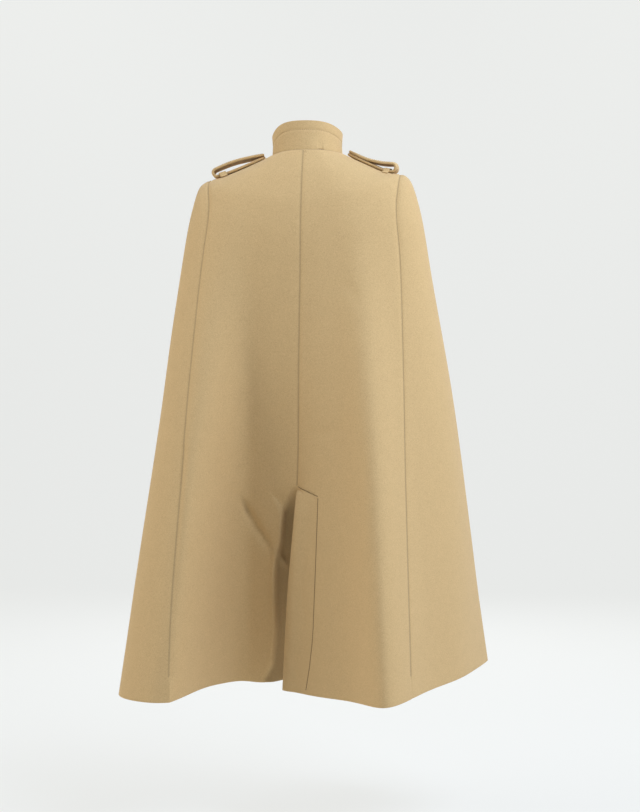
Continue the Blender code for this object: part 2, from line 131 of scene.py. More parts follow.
# Each light's name, place, the place that it faces, and power in watts
WALL_LIGHTS = (
    ("wall_light_left", (2.8, -3.0, 3.2), (1.6, -6.0, 0.2), 70.0),
    ("wall_light_right", (-2.8, -3.0, 3.2), (-1.6, -6.0, 0.2), 70.0),
)


def soft_light(light_name, place, faces, power, colour):
    """A square softbox that faces a place."""
    bpy.ops.object.light_add(type="AREA", location=place)
    light = bpy.context.object
    light.name = light_name
    light.data.shape = "SQUARE"
    light.data.size = LIGHT_SIZE
    light.data.energy = power
    light.data.color = colour
    light.rotation_euler = (Vector(faces) - Vector(place)).to_track_quat("-Z", "Y").to_euler()


for light_name, round_degrees, up_degrees, power, colour in CAPE_LIGHTS:
    turn, lift = math.radians(round_degrees), math.radians(up_degrees)
    way = Vector((math.sin(turn) * math.cos(lift), math.cos(turn) * math.cos(lift), math.sin(lift)))
    soft_light(light_name, CAPE_MIDDLE + LIGHT_DISTANCE * way, CAPE_MIDDLE, power, colour)
for light_name, place, faces, power in WALL_LIGHTS:
    soft_light(light_name, place, faces, power, PLAIN_LIGHT)

ROOM_LIGHT = (0.95, 0.975, 1.0, 1.0)
ROOM_LIGHT_STRENGTH = 0.04
ROOM_SEEN_STRENGTH = 0.82
if bpy.context.scene.world is None:
    bpy.context.scene.world = bpy.data.worlds.new("studio_air")
sky = bpy.context.scene.world
sky.use_nodes = True
sky.node_tree.nodes["Background"].inputs["Color"].default_value = ROOM_LIGHT
# Past the floor's edge the room looks as pale as the floor, but it lights the cape little.
seen = sky.node_tree.nodes.new("ShaderNodeLightPath")
air = sky.node_tree.nodes.new("ShaderNodeMapRange")
air.inputs["To Min"].default_value = ROOM_LIGHT_STRENGTH
air.inputs["To Max"].default_value = ROOM_SEEN_STRENGTH
sky.node_tree.links.new(seen.outputs["Is Camera Ray"], air.inputs["Value"])
sky.node_tree.links.new(air.outputs["Result"], sky.node_tree.nodes["Background"].inputs["Strength"])
bpy.context.scene.view_settings.view_transform = "Standard"


# The cloth: camel melton wool
# A heavy woollen, woven and then fulled until the weave is hidden under a short dense
# nap. It is matt, and its fibres catch a little light where it turns away. Shade is
# painted into its colour along its pressed seams and creases, and deep in the vent's pocket.
WOOL_COLOUR = (0.582, 0.392, 0.182)
WOOL_LIGHT_FIBRE = (0.651, 0.452, 0.222)
WOOL_DARK_FIBRE = (0.502, 0.328, 0.147)
WOOL_ROUGHNESS = 0.92
WOOL_GLOSS = 0.22
NAP_SHEEN = 0.12
NAP_SHEEN_ROUGHNESS = 0.45
NAP_SHEEN_TINT = (1.0, 0.93, 0.80, 1.0)
PATCH_SHADES = (0.982, 1.018)
# The darkest that painted shade makes the wool, as a share of its colour
DARKEST_PAINTED_SHADE = 0.5
TUFT_STRENGTH = 0.15
TUFT_HEIGHT = 0.0012
NAP_STRENGTH = 0.45
NAP_HEIGHT = 0.0005
# Each pattern's scale, detail and roughness
FIBRE_PATTERN = (620.0, 3.0, 0.62)
PATCH_PATTERN = (42.0, 4.0, 0.6)
TUFT_PATTERN = (210.0, 2.0, 0.5)
NAP_PATTERN = (1300.0, 2.0, 0.7)


def camel_wool(name):
    """Melton wool: a mix of lighter and darker fibres with a soft, felted nap."""
    melton = bpy.data.materials.new(name)
    melton.use_nodes = True
    nodes, links = melton.node_tree.nodes, melton.node_tree.links
    finish = nodes["Principled BSDF"]
    finish.inputs["Roughness"].default_value = WOOL_ROUGHNESS
    finish.inputs["Specular IOR Level"].default_value = WOOL_GLOSS
    finish.inputs["Sheen Weight"].default_value = NAP_SHEEN
    finish.inputs["Sheen Roughness"].default_value = NAP_SHEEN_ROUGHNESS
    finish.inputs["Sheen Tint"].default_value = NAP_SHEEN_TINT
    place = nodes.new("ShaderNodeTexCoord")

    def clouds(scale, detail, roughness):
        pattern = nodes.new("ShaderNodeTexNoise")
        pattern.inputs["Scale"].default_value = scale
        pattern.inputs["Detail"].default_value = detail
        pattern.inputs["Roughness"].default_value = roughness
        links.new(place.outputs["Object"], pattern.inputs["Vector"])
        return pattern.outputs["Fac"]

    fibres = nodes.new("ShaderNodeValToRGB")
    fibres.color_ramp.elements[0].position = 0.30
    fibres.color_ramp.elements[0].color = (*WOOL_DARK_FIBRE, 1.0)
    fibres.color_ramp.elements[1].position = 0.72
    fibres.color_ramp.elements[1].color = (*WOOL_LIGHT_FIBRE, 1.0)
    middle = fibres.color_ramp.elements.new(0.5)
    middle.color = (*WOOL_COLOUR, 1.0)
    links.new(clouds(*FIBRE_PATTERN), fibres.inputs["Fac"])

    tone = nodes.new("ShaderNodeMapRange")
    tone.inputs["From Min"].default_value = 0.30
    tone.inputs["From Max"].default_value = 0.70
    tone.inputs["To Min"].default_value = PATCH_SHADES[0]
    tone.inputs["To Max"].default_value = PATCH_SHADES[1]
    links.new(clouds(*PATCH_PATTERN), tone.inputs["Value"])
    # Painted shade: a point attribute on each piece darkens the wool's colour, down to the darkest share
    # above.
    painted_shade = nodes.new("ShaderNodeAttribute")
    painted_shade.attribute_name = "painted_shade"
    shade = nodes.new("ShaderNodeMapRange")
    shade.inputs["To Min"].default_value = 1.0
    shade.inputs["To Max"].default_value = DARKEST_PAINTED_SHADE
    links.new(painted_shade.outputs["Fac"], shade.inputs["Value"])
    both = nodes.new("ShaderNodeMath")
    both.operation = "MULTIPLY"
    links.new(tone.outputs["Result"], both.inputs[0])
    links.new(shade.outputs["Result"], both.inputs[1])
    toned = nodes.new("ShaderNodeVectorMath")
    toned.operation = "SCALE"
    links.new(fibres.outputs["Color"], toned.inputs[0])
    links.new(both.outputs["Value"], toned.inputs["Scale"])
    links.new(toned.outputs["Vector"], finish.inputs["Base Color"])

    tufts = nodes.new("ShaderNodeBump")
    tufts.inputs["Strength"].default_value = TUFT_STRENGTH
    tufts.inputs["Distance"].default_value = TUFT_HEIGHT
    links.new(clouds(*TUFT_PATTERN), tufts.inputs["Height"])
    nap = nodes.new("ShaderNodeBump")
    nap.inputs["Strength"].default_value = NAP_STRENGTH
    nap.inputs["Distance"].default_value = NAP_HEIGHT
    links.new(clouds(*NAP_PATTERN), nap.inputs["Height"])
    links.new(tufts.outputs["Normal"], nap.inputs["Normal"])
    links.new(nap.outputs["Normal"], finish.inputs["Normal"])
    return melton


wool = camel_wool("camel_wool")


# The back panels
# Two lengths of wool joined by the centre back seam down to the vent. Below it the right
# one ends in a flap, and the left one runs on behind the flap as its underlap.
TO_BACK = (0, 1, 0)
CLOTH_THICKNESS = 0.0025
CLOTH_EDGE = 0.0010
CLOTH_ROUNDS = 3
POINT_MERGE = 1e-5
PAIR_FACE_ANGLE = math.radians(50)
PAIR_SHAPE_ANGLE = math.radians(120)
PAIR_ALONG_GRID = 2.0
RIM_TOLERANCE = 0.00004
FACES_OUT = 0.7
FAR_AWAY = 1e9
TINY = 1e-12
HANG_WAVE = 0.0009
HANG_WAVE_LENGTH = 0.11
HANG_WAVE_DRAWN_OUT = 0.55
CREASE_END = 0.02
CREASE_FADE = 0.7
CREASE_CORE = 0.6
SEAM_DIP = 0.0010
SEAM_DIP_WIDTH = 0.0045
# How much shade is painted along a seam, and how wide it is painted
SEAM_PAINTED_SHADE = 0.6
PAINTED_SHADE_WIDTH = 0.0016
SEWN_WITHIN = 0.0075
SEW_BLEND = 0.014
WALL_MERGE = 1e-4
EDGE_STEPS = 2
EDGE_ANGLE = math.radians(55)
SMOOTH_ANGLE = math.radians(50)


def copied_solid(node, name):
    """A copy of a solid, in edit mode, with its points merged and its triangles paired."""
    solid = frame["nodes"][node]
    piece = bpy.data.objects.new(name, solid.data.copy())
    bpy.context.scene.collection.objects.link(piece)
    bpy.ops.object.select_all(action="DESELECT")
    piece.select_set(True)
    bpy.context.view_layer.objects.active = piece
    piece.data.materials.clear()
    bpy.ops.object.mode_set(mode="EDIT")
    bpy.ops.mesh.select_all(action="SELECT")
    bpy.ops.mesh.remove_doubles(threshold=POINT_MERGE)
    bpy.ops.mesh.tris_convert_to_quads(
        face_threshold=PAIR_FACE_ANGLE, shape_threshold=PAIR_SHAPE_ANGLE, topology_influence=PAIR_ALONG_GRID
    )
    return piece


def make_finer(piece, rounds):
    """Splits each cell by these rounds of subdivision, and keeps an open rim's corners."""
    finer = piece.modifiers.new("finer", "SUBSURF")
    finer.levels = rounds
    finer.render_levels = rounds
    finer.boundary_smooth = "PRESERVE_CORNERS"
    bpy.ops.object.modifier_apply(modifier="finer")
    bpy.ops.object.shade_smooth()


def round_edges(piece, edge, angle):
    """Rounds each edge that is sharper than an angle."""
    rim = piece.modifiers.new("rim", "BEVEL")
    rim.width = edge
    rim.segments = EDGE_STEPS
    rim.limit_method = "ANGLE"
    rim.angle_limit = angle
    bpy.ops.object.modifier_apply(modifier="rim")


def cloth_face(node, name, facing, thickness=CLOTH_THICKNESS):
    """The outer face of a panel's solid as one fine sheet, without its rim and inner face."""
    cloth = copied_solid(node, name)
    grid = bmesh.from_edit_mesh(cloth.data)
    for face in grid.faces:
        across = [edge for edge in face.edges if abs(edge.calc_length() - thickness) < RIM_TOLERANCE]
        face.select_set(len(across) >= len(face.verts) - 2)
    bmesh.update_edit_mesh(cloth.data)
    bpy.ops.mesh.delete(type="FACE")
    grid = bmesh.from_edit_mesh(cloth.data)
    grid.normal_update()
    towards = Vector(facing)
    outer = max(
        (face for face in grid.faces if face.normal.dot(towards) > FACES_OUT),
        key=lambda face: face.calc_center_median().dot(towards),
    )
    bpy.ops.mesh.select_all(action="DESELECT")
    outer.select_set(True)
    bmesh.update_edit_mesh(cloth.data)
    bpy.ops.mesh.select_linked()
    bpy.ops.mesh.select_all(action="INVERT")
    bpy.ops.mesh.delete(type="VERT")
    bpy.ops.object.mode_set(mode="OBJECT")
    make_finer(cloth, CLOTH_ROUNDS)
    return cloth


def points_of(piece):
    return np.array([vertex.co[:] for vertex in piece.data.vertices])


def put_points(piece, points):
    piece.data.vertices.foreach_set("co", points.ravel())
    piece.data.update()


def move_points(piece, amounts):
    """Moves each point out along its own normal by its own amount."""
    normals = np.array([vertex.normal[:] for vertex in piece.data.vertices])
    put_points(piece, points_of(piece) + amounts[:, None] * normals)


def push_back(piece, amounts):
    """Moves each point straight back, to +Y, by its own amount."""
    points = points_of(piece)
    points[:, 1] += amounts
    put_points(piece, points)


def rim_of(piece):
    """The edges on a sheet's rim, each as its two ends."""
    sheet = bmesh.new()
    sheet.from_mesh(piece.data)
    rim = np.array([[end.co[:] for end in edge.verts] for edge in sheet.edges if edge.is_boundary])
    sheet.free()
    return rim


def searchable(places):
    """A tree that finds the nearest of these places."""
    tree = KDTree(len(places))
    for number, place in enumerate(places):
        tree.insert(place, number)
    tree.balance()
    return tree


def bell(gap, width):
    """1 in the middle, and less as the gap nears and passes the width."""
    return np.exp(-((gap / width) ** 2))


def distance_to_path(points, path):
    """Each point's distance to a path, and how far along it the nearest place lies, 0 to 1."""
    path = np.array(path, float)
    lengths = np.linalg.norm(np.diff(path, axis=0), axis=1)
    reached = np.concatenate([[0], np.cumsum(lengths)]) / lengths.sum()
    nearest = np.full(len(points), FAR_AWAY)
    along = np.zeros(len(points))
    for start, end, low, high in zip(path[:-1], path[1:], reached[:-1], reached[1:]):
        way = end - start
        share = np.clip((points - start) @ way / (way @ way), 0, 1)
        gap = np.linalg.norm(points - (start + share[:, None] * way), axis=1)
        closer = gap < nearest
        nearest[closer] = gap[closer]
        along[closer] = (low + (high - low) * share)[closer]
    return nearest, along


def hang_softly(piece):
    """Slow, shallow waves, so that heavy cloth doesn't hang as if it were machined."""
    places = points_of(piece) / HANG_WAVE_LENGTH
    waves = [noise.noise(Vector((x, y, z * HANG_WAVE_DRAWN_OUT))) for x, y, z in places]
    move_points(piece, HANG_WAVE * np.array(waves))


def paint_shade(piece, amounts):
    """Paints shade into the wool's colour: how much darker it is at each point, from 0 to 1."""
    if "painted_shade" not in piece.data.attributes:
        piece.data.attributes.new("painted_shade", "FLOAT", "POINT")
    kept = np.zeros(len(piece.data.vertices))
    piece.data.attributes["painted_shade"].data.foreach_get("value", kept)
    piece.data.attributes["painted_shade"].data.foreach_set("value", np.maximum(kept, amounts))


def crease(piece, path, width, depth, painted_shade=0.0):
    """A soft trough (or a ridge, where depth is below 0) that fades out at both its ends, with shade
    painted along its core by the last amount.
    """
    gap, along = distance_to_path(points_of(piece), path)
    fade = np.sin(np.pi * np.clip(along, CREASE_END, 1 - CREASE_END)) ** CREASE_FADE
    paint_shade(piece, painted_shade * fade * bell(gap, CREASE_CORE * width))
    move_points(piece, -depth * fade * bell(gap, width))


def turn_in_seams(piece, is_seam, depth=SEAM_DIP, width=SEAM_DIP_WIDTH, painted_shade=SEAM_PAINTED_SHADE):
    """Rolls the cloth in along the rim places that is_seam accepts, as a pressed seam does, and paints
    shade along the seam.
    """
    seam = searchable([place for edge in rim_of(piece) for place in edge if is_seam(*place)])
    gap = np.array([seam.find(point)[2] for point in points_of(piece)])
    paint_shade(piece, painted_shade * bell(gap, PAINTED_SHADE_WIDTH))
    move_points(piece, -depth * bell(gap, width))
    return gap


def sew_to(piece, neighbour_rim, within=SEWN_WITHIN):
    """Draws a sheet's rim onto its neighbour's wherever the two are sewn together."""
    starts, ways = neighbour_rim[:, 0], neighbour_rim[:, 1] - neighbour_rim[:, 0]
    lengths = np.maximum((ways**2).sum(axis=1), TINY)
    own = np.unique(rim_of(piece).reshape(-1, 3), axis=0)
    pulls = np.zeros_like(own)
    for number, place in enumerate(own):
        share = np.clip(((place - starts) * ways).sum(axis=1) / lengths, 0, 1)
        nearest = starts + share[:, None] * ways
        gaps = np.linalg.norm(nearest - place, axis=1)
        if gaps.min() < within:
            pulls[number] = nearest[gaps.argmin()] - place
    rim = searchable(own)
    points = points_of(piece)
    for number, point in enumerate(points):
        _, nearest, gap = rim.find(point)
        points[number] += pulls[nearest] * math.exp(-((gap / SEW_BLEND) ** 2))
    put_points(piece, points)


def give_thickness(piece, thickness=CLOTH_THICKNESS, edge=CLOTH_EDGE):
    """Gives a sheet its thickness inwards, and rounds its rim."""
    bpy.ops.object.select_all(action="DESELECT")
    piece.select_set(True)
    bpy.context.view_layer.objects.active = piece
    bpy.ops.object.mode_set(mode="EDIT")
    bpy.ops.mesh.select_all(action="SELECT")
    bpy.ops.mesh.remove_doubles(threshold=WALL_MERGE)
    bpy.ops.mesh.dissolve_degenerate(threshold=WALL_MERGE)
    bpy.ops.object.mode_set(mode="OBJECT")
    wall = piece.modifiers.new("wall", "SOLIDIFY")
    wall.thickness = thickness
    wall.offset = -1
    bpy.ops.object.modifier_apply(modifier="wall")
    round_edges(piece, edge, EDGE_ANGLE)
    bpy.ops.object.shade_smooth_by_angle(angle=SMOOTH_ANGLE)


def dress(piece, node):
    """Puts the wool on a piece, which then stands for this solid."""
    piece.data.materials.append(wool)
    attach(piece, "root")
    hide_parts(node)


VENT_TOP = -0.676
HEM_LIMIT = -1.045
BACK_SIDE_SEAM = 0.10
SIDE_SEAM_DIP = 0.0018
SIDE_SEAM_WIDTH = 0.0065
LOW_SEAM_TOP = -0.60
LOW_SEAM_DIP = 0.0022
LOW_SEAM_WIDTH = 0.010

# The long crease that runs down to the vent, with a wide trough and a sharp core
LEFT_BACK_CREASE = (
    (0.1309, 0.0300, -0.7007),
    (0.1210, 0.0198, -0.7299),
    (0.1030, 0.0158, -0.7629),
    (0.0845, 0.0149, -0.7895),
    (0.0661, 0.0141, -0.8160),
)
TROUGH_WIDTH = 0.012
TROUGH_DEPTH = 0.0045
CORE_WIDTH = 0.0058
CORE_DEPTH = 0.0046
# Shade painted into the crease's sharp core
CORE_PAINTED_SHADE = 1.0

# The pocket: the underlap turns in at a fold and hangs deep behind the flap, less so at
# the hem, where it stays clear of the wearer's legs
POCKET_FOLD = (
    (0.0312, 0.0505, -0.6907),
    (0.0489, 0.0378, -0.7301),
    (0.0551, 0.0202, -0.7948),
    (0.0676, 0.0098, -0.8308),
    (0.0709, -0.0032, -0.8694),
    (0.0732, -0.0220, -0.9235),
    (0.0732, -0.0446, -0.9810),
    (0.0845, -0.0680, -1.0587),
    (0.1026, -0.0766, -1.0922),
)
POCKET_FOLD_WIDTH = 0.0060
POCKET_FOLD_RISE = 0.0022
POCKET_RIDGE = (
    (0.0743, 0.0146, -0.8037),
    (0.0563, 0.0100, -0.8245),
    (0.0393, -0.0048, -0.8466),
    (0.0250, -0.0150, -0.8640),
)
POCKET_RIDGE_WIDTH = 0.0070
POCKET_RIDGE_RISE = 0.0060
POCKET_LEVELS = (-1.10, -1.05)
POCKET_DEPTHS = (0.0035, 0.012)
POCKET_GROWS = 0.05
POCKET_TURN = 0.012
# Shade painted into the wool deep in the pocket, where little light reaches
POCKET_PAINTED_SHADE = 0.60

back_left = cloth_face("back_left", "back_left_cloth", TO_BACK)
hang_softly(back_left)
crease(back_left, LEFT_BACK_CREASE, TROUGH_WIDTH, TROUGH_DEPTH)
crease(back_left, LEFT_BACK_CREASE, CORE_WIDTH, CORE_DEPTH, CORE_PAINTED_SHADE)
crease(back_left, POCKET_RIDGE, POCKET_RIDGE_WIDTH, -POCKET_RIDGE_RISE)
crease(back_left, POCKET_FOLD, POCKET_FOLD_WIDTH, -POCKET_FOLD_RISE)
fold_upwards = np.array(POCKET_FOLD)[::-1]
across, up = points_of(back_left)[:, 0], points_of(back_left)[:, 2]
past_fold = np.interp(up, fold_upwards[:, 2], fold_upwards[:, 0]) - across
turned = np.clip(past_fold / POCKET_TURN, 0, 1)
below_top = np.clip((VENT_TOP - up) / POCKET_GROWS, 0, 1)
in_pocket = below_top * turned * turned * (3 - 2 * turned)
push_back(back_left, -np.interp(up, POCKET_LEVELS, POCKET_DEPTHS) * in_pocket)
# Paints shade into the pocket's wool, where little light reaches.
paint_shade(back_left, POCKET_PAINTED_SHADE * in_pocket)
turn_in_seams(back_left, lambda x, y, z: x < BACK_SIDE_SEAM and z > VENT_TOP)
turn_in_seams(
    back_left,
    lambda x, y, z: x > BACK_SIDE_SEAM and z > HEM_LIMIT,
    SIDE_SEAM_DIP,
    SIDE_SEAM_WIDTH,
)
turn_in_seams(
    back_left,
    lambda x, y, z: x > BACK_SIDE_SEAM and HEM_LIMIT < z < LOW_SEAM_TOP,
    LOW_SEAM_DIP,
    LOW_SEAM_WIDTH,
    painted_shade=0.0,
)
rims = {"back_left": rim_of(back_left)}
give_thickness(back_left)
dress(back_left, "back_left")

RIGHT_BACK_CREASE = (
    (-0.0048, 0.0859, -0.5668),
    (-0.0362, 0.1024, -0.5704),
    (-0.0671, 0.1171, -0.5642),
    (-0.0979, 0.1366, -0.5560),
)
RIGHT_BACK_CREASE_WIDTH = 0.010
RIGHT_BACK_CREASE_DEPTH = 0.0012
SHOULDER_BLADE_CREASE = (
    (-0.0868, 0.1174, -0.2635),
    (-0.0988, 0.1208, -0.2875),
    (-0.1108, 0.1243, -0.3094),
    (-0.1208, 0.1264, -0.3272),
)
SHOULDER_BLADE_CREASE_WIDTH = 0.012
SHOULDER_BLADE_CREASE_DEPTH = 0.0015
VENT_SLANT = (
    (0.0135, 0.0646, -0.6777),
    (-0.0081, 0.0795, -0.6857),
    (-0.0304, 0.0935, -0.6947),
)
VENT_SLANT_WIDTH = 0.0035
VENT_SLANT_DEPTH = 0.0010
# Shade painted into the vent's slanted groove
VENT_SLANT_PAINTED_SHADE = 0.5
# The flap's free edge, which stands off the underlap from a little below the vent's top
FLAP_EDGE = (
    (0.0103, 0.0665, -0.6836),
    (0.0182, 0.0577, -0.7345),
    (0.0239, 0.0501, -0.8119),
    (0.0293, 0.0419, -0.8938),
    (0.0307, 0.0366, -0.9615),
    (0.0368, 0.0255, -1.0407),
    (0.0436, 0.0158, -1.0876),
)
FLAP_LIFT = 0.0120
FLAP_LIFT_WIDTH = 0.028
FLAP_LIFT_GROWS = 0.05

back_right = cloth_face("back_right", "back_right_cloth", TO_BACK)
hang_softly(back_right)
crease(back_right, RIGHT_BACK_CREASE, RIGHT_BACK_CREASE_WIDTH, RIGHT_BACK_CREASE_DEPTH)
crease(back_right, SHOULDER_BLADE_CREASE, SHOULDER_BLADE_CREASE_WIDTH, SHOULDER_BLADE_CREASE_DEPTH)
crease(back_right, VENT_SLANT, VENT_SLANT_WIDTH, VENT_SLANT_DEPTH, VENT_SLANT_PAINTED_SHADE)
turn_in_seams(back_right, lambda x, y, z: z > HEM_LIMIT and (x < -BACK_SIDE_SEAM or z > VENT_TOP))
sew_to(back_right, rims["back_left"])
from_flap_edge = distance_to_path(points_of(back_right), FLAP_EDGE)[0]
below_top = np.clip((VENT_TOP - points_of(back_right)[:, 2]) / FLAP_LIFT_GROWS, 0, 1)
push_back(back_right, FLAP_LIFT * below_top * bell(from_flap_edge, FLAP_LIFT_WIDTH))
rims["back_right"] = rim_of(back_right)
give_thickness(back_right)
dress(back_right, "back_right")


# The vent's stitching
# Brown thread holds the flap's facing down in a dashed row, about four centimetres from
# its edge, and a closer slanted row of the same thread closes the vent's top.
BROWN_THREAD_COLOUR = (0.085, 0.045, 0.017)
THREAD_TWIST = 2400.0
STITCH_SIDES = 8
STITCH_RINGS = 6
# Each row's length of stitch, space between stitches and thread radius
VENT_STITCH = (0.0027, 0.0011, 0.00090)
SLANT_STITCH = (0.0027, 0.0006, 0.00080)
VENT_TOPSTITCH = (
    (-0.0311, 0.0938, -0.6986),
    (-0.0288, 0.0909, -0.7614),
    (-0.0264, 0.0883, -0.8213),
    (-0.0235, 0.0849, -0.8875),
    (-0.0207, 0.0805, -0.9569),
    (-0.0186, 0.0778, -0.9883),
    (-0.0123, 0.0709, -1.0396),
    (-0.0038, 0.0623, -1.0876),
)


def sewing_thread(name, colour):
    """Polyester thread with a faint twist, a little glossier than the wool."""
    spun = bpy.data.materials.new(name)
    spun.use_nodes = True
    nodes, links = spun.node_tree.nodes, spun.node_tree.links
    finish = nodes["Principled BSDF"]
    finish.inputs["Base Color"].default_value = (*colour, 1.0)
    finish.inputs["Roughness"].default_value = 0.75
    finish.inputs["Specular IOR Level"].default_value = 0.2
    place = nodes.new("ShaderNodeTexCoord")
    twist = nodes.new("ShaderNodeTexNoise")
    twist.inputs["Scale"].default_value = THREAD_TWIST
    links.new(place.outputs["Object"], twist.inputs["Vector"])
    ply = nodes.new("ShaderNodeBump")
    ply.inputs["Strength"].default_value = 0.4
    ply.inputs["Distance"].default_value = 0.0003
    links.new(twist.outputs["Fac"], ply.inputs["Height"])
    links.new(ply.outputs["Normal"], finish.inputs["Normal"])
    return spun


def thread_piece(name, corners, faces, thread):
    """A piece of sewing thread from its corners and faces."""
    data = bpy.data.meshes.new(name)
    data.from_pydata(corners, [], faces)
    data.update()
    data.shade_smooth()
    data.materials.append(thread)
    piece = bpy.data.objects.new(name, data)
    bpy.context.scene.collection.objects.link(piece)
    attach(piece, "root")


def strand_shape(around, rings, half_length, radius):
    """The corners and faces of one stitch, a sphere drawn out along X."""
    bpy.ops.object.select_all(action="DESELECT")
    bpy.ops.mesh.primitive_uv_sphere_add(segments=around, ring_count=rings, radius=1)
    pattern = bpy.context.object
    corners = points_of(pattern) * np.array([half_length, radius, radius])
    faces = [tuple(face.vertices) for face in pattern.data.polygons]
    bpy.data.objects.remove(pattern)
    return corners, faces


def stitch_row(name, carrier, path, sizes, thread):
    """A row of stitches along a path, half sunk into the cloth that carries them."""
    stitch, space, thread_radius = sizes
    rows, faces = strand_shape(STITCH_SIDES, STITCH_RINGS, stitch / 2, thread_radius)
    surface = BVHTree.FromObject(carrier, bpy.context.evaluated_depsgraph_get())
    path = np.array(path, float)
    reached = np.concatenate([[0], np.cumsum(np.linalg.norm(np.diff(path, axis=0), axis=1))])
    corners, sides = [], []
    for middle in np.arange(stitch / 2, reached[-1], stitch + space):
        ends = []
        for distance in (middle - stitch / 2, middle + stitch / 2):
            guess = [np.interp(distance, reached, path[:, axis]) for axis in range(3)]
            place, normal, _, _ = surface.find_nearest(Vector(guess))
            ends.append((place, normal))
        (start, up), (end, _) = ends
        along = (end - start).normalized()
        across = up.cross(along).normalized()
        turn = Matrix((along, across, along.cross(across))).transposed()
        first = len(corners)
        corners += [(start + end) / 2 + turn @ Vector(row) for row in rows]
        sides += [tuple(first + corner for corner in face) for face in faces]
    thread_piece(name, corners, sides, thread)


brown_thread = sewing_thread("brown_thread", BROWN_THREAD_COLOUR)
stitch_row("vent_topstitch", back_right, VENT_TOPSTITCH, VENT_STITCH, brown_thread)
stitch_row("vent_slant_stitch", back_right, VENT_SLANT, SLANT_STITCH, brown_thread)


# The side panels
# One length of wool on each side, cut with a rounded top that is eased into the seam over
# the shoulder's tip, so it stands up there in a small cap.
FRONT_SEAM = -0.05
WELT_RISE = 0.0011
WELT_AT = 0.0055
WELT_WIDTH = 0.0035
SIDE_CREASE_WIDTH = 0.011
SIDE_CREASE_DEPTH = 0.0020
RAY_START = 2
TO_LEFT = (1, 0, 0)
TO_RIGHT = (-1, 0, 0)
# Each crease's spots, as (forward or back, up)
LEFT_SIDE_CREASES = (
    ((-0.03, -0.22), (-0.045, -0.31), (-0.052, -0.40), (-0.050, -0.49)),
    ((-0.10, -0.46), (-0.115, -0.58), (-0.120, -0.70)),
    ((-0.05, -0.72), (-0.060, -0.84), (-0.055, -0.95)),
)
RIGHT_SIDE_CREASES = (
    ((-0.04, -0.20), (-0.060, -0.30), (-0.072, -0.42)),
    ((-0.12, -0.50), (-0.140, -0.62), (-0.150, -0.76)),
    ((-0.19, -0.66), (-0.205, -0.80), (-0.215, -0.93)),
)


def laid_on(piece, facing, spots):
    """Places on a sheet as it is seen from facing, a whole axis. A spot is (across, up)."""
    surface = BVHTree.FromObject(piece, bpy.context.evaluated_depsgraph_get())
    towards = Vector(facing)
    places = []
    for across, up in spots:
        start = Vector((across, 0, up)) if facing[1] else Vector((0, across, up))
        place = surface.ray_cast(start + RAY_START * towards, -towards)[0]
        if place is not None:
            places.append(tuple(place))
    return places


side_left = cloth_face("side_left", "side_left_cloth", TO_LEFT)
hang_softly(side_left)
for spots in LEFT_SIDE_CREASES:
    crease(side_left, laid_on(side_left, TO_LEFT, spots), SIDE_CREASE_WIDTH, SIDE_CREASE_DEPTH)
turn_in_seams(side_left, lambda x, y, z: z > HEM_LIMIT and y < FRONT_SEAM)
# The allowances inside the back seam raise a low welt beside it, and shade is painted along the seam.
from_back_seam = turn_in_seams(side_left, lambda x, y, z: z > HEM_LIMIT and y > FRONT_SEAM, depth=0.0)
move_points(side_left, WELT_RISE * bell(from_back_seam - WELT_AT, WELT_WIDTH))
turn_in_seams(
    side_left,
    lambda x, y, z: y > FRONT_SEAM and HEM_LIMIT < z < LOW_SEAM_TOP,
    LOW_SEAM_DIP,
    LOW_SEAM_WIDTH,
    painted_shade=0.0,
)
sew_to(side_left, rims["back_left"])
rims["side_left"] = rim_of(side_left)
give_thickness(side_left)
dress(side_left, "side_left")

side_right = cloth_face("side_right", "side_right_cloth", TO_RIGHT)
hang_softly(side_right)
for spots in RIGHT_SIDE_CREASES:
    crease(side_right, laid_on(side_right, TO_RIGHT, spots), SIDE_CREASE_WIDTH, SIDE_CREASE_DEPTH)
turn_in_seams(side_right, lambda x, y, z: z > HEM_LIMIT)
sew_to(side_right, rims["back_right"])
rims["side_right"] = rim_of(side_right)
give_thickness(side_right)
dress(side_right, "side_right")


# The fronts
# Two plain lengths of wool. The wearer's right one laps over the left one by six
# centimetres at the middle, and the buttons hold it there.
TO_FRONT = (0, -1, 0)
FRONT_EDGE = 0.04
FRONT_CREASE_WIDTH = 0.010
FRONT_CREASE_DEPTH = 0.0018
# Each side's name and sign, and its creases' spots, as (across, up)
FRONT_CREASES = (
    ("left", 1, (
        ((0.11, -0.30), (0.095, -0.40), (0.085, -0.52)),
        ((0.15, -0.52), (0.165, -0.66), (0.172, -0.80)),
        ((0.09, -0.70), (0.10, -0.82), (0.105, -0.94)),
    )),
    ("right", -1, (
        ((-0.10, -0.26), (-0.088, -0.36), (-0.080, -0.46)),
        ((-0.15, -0.56), (-0.160, -0.70), (-0.165, -0.86)),
        ((-0.085, -0.62), (-0.095, -0.74), (-0.10, -0.88)),
    )),
)
fronts = {}
for side, outward, creases in FRONT_CREASES:
    front = cloth_face("front_" + side, f"front_{side}_cloth", TO_FRONT)
    fronts[side] = front
    hang_softly(front)
    for spots in creases:
        crease(front, laid_on(front, TO_FRONT, spots), FRONT_CREASE_WIDTH, FRONT_CREASE_DEPTH)
    turn_in_seams(front, lambda x, y, z: z > HEM_LIMIT and outward * x > FRONT_EDGE)
    sew_to(front, rims["back_" + side])
    sew_to(front, rims["side_" + side])
    rims["front_" + side] = rim_of(front)
    give_thickness(front)
    dress(front, "front_" + side)


